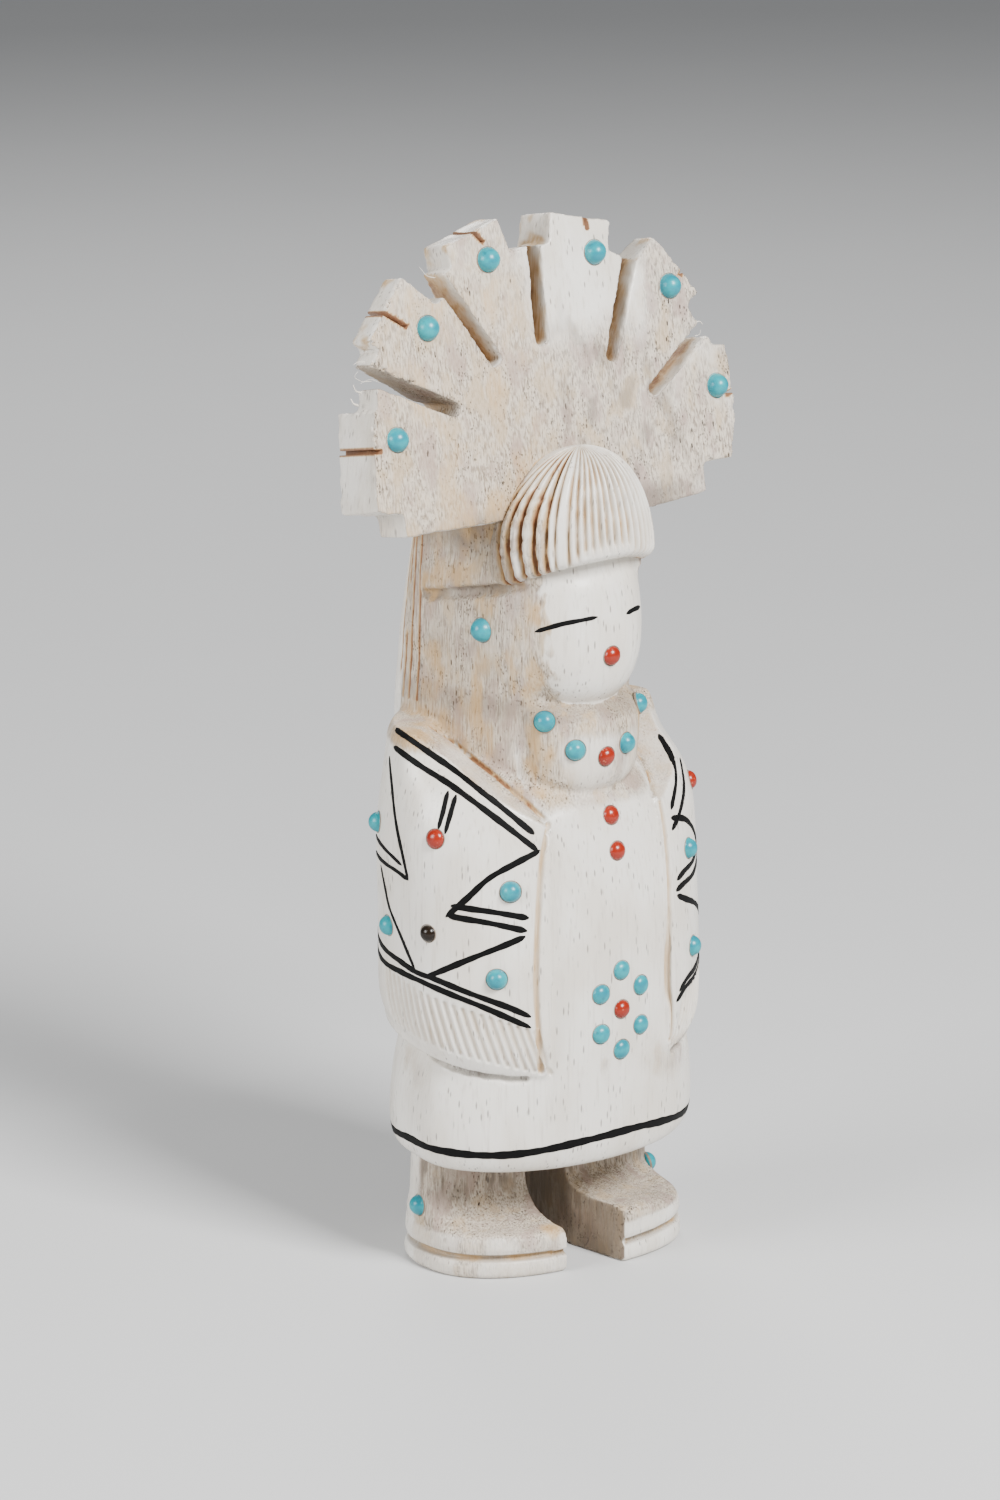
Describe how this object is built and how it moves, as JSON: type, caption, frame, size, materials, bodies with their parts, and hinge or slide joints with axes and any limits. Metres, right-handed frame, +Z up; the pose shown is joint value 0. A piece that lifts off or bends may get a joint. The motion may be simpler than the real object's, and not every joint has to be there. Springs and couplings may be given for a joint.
{
  "type": "fetish carving",
  "caption": "Small standing antler carving of a shawled figure with a fan headdress, engraved lines and inlaid turquoise, coral and jet stones.",
  "frame": {"origin": "on the ground under the middle of the figure's bounding box", "axes": "+Z up along the figure; the face, the collar and the toes point to -Y; +X is to the right as seen from the front"},
  "size_m": [0.0541, 0.0325, 0.1239],
  "materials": {
    "antler": "polished antler, satin",
    "turquoise": "polished stone",
    "coral": "polished stone",
    "jet": "polished stone"
  },
  "bodies": {
    "root": {"antler_figure": "antler", "coral_chest_1": "coral", "coral_chest_2": "coral", "coral_collar": "coral", "coral_flower": "coral", "coral_mouth": "coral", "coral_shawl_left": "coral", "coral_shawl_right": "coral", "jet_shawl_left": "jet", "jet_shawl_right": "jet", "turquoise_collar_1": "turquoise", "turquoise_collar_2": "turquoise", "turquoise_collar_3": "turquoise", "turquoise_collar_4": "turquoise", "turquoise_fan_1": "turquoise", "turquoise_fan_2": "turquoise", "turquoise_fan_3": "turquoise", "turquoise_fan_4": "turquoise", "turquoise_fan_5": "turquoise", "turquoise_fan_6": "turquoise", "turquoise_head_left": "turquoise", "turquoise_head_right": "turquoise", "turquoise_leg_left": "turquoise", "turquoise_leg_right": "turquoise", "turquoise_petal_1": "turquoise", "turquoise_petal_2": "turquoise", "turquoise_petal_3": "turquoise", "turquoise_petal_4": "turquoise", "turquoise_petal_5": "turquoise", "turquoise_petal_6": "turquoise", "turquoise_shawl_left_1": "turquoise", "turquoise_shawl_left_2": "turquoise", "turquoise_shawl_left_3": "turquoise", "turquoise_shawl_left_4": "turquoise", "turquoise_shawl_right_1": "turquoise", "turquoise_shawl_right_2": "turquoise", "turquoise_shawl_right_3": "turquoise", "turquoise_shawl_right_4": "turquoise"}
  },
  "joints": []
}
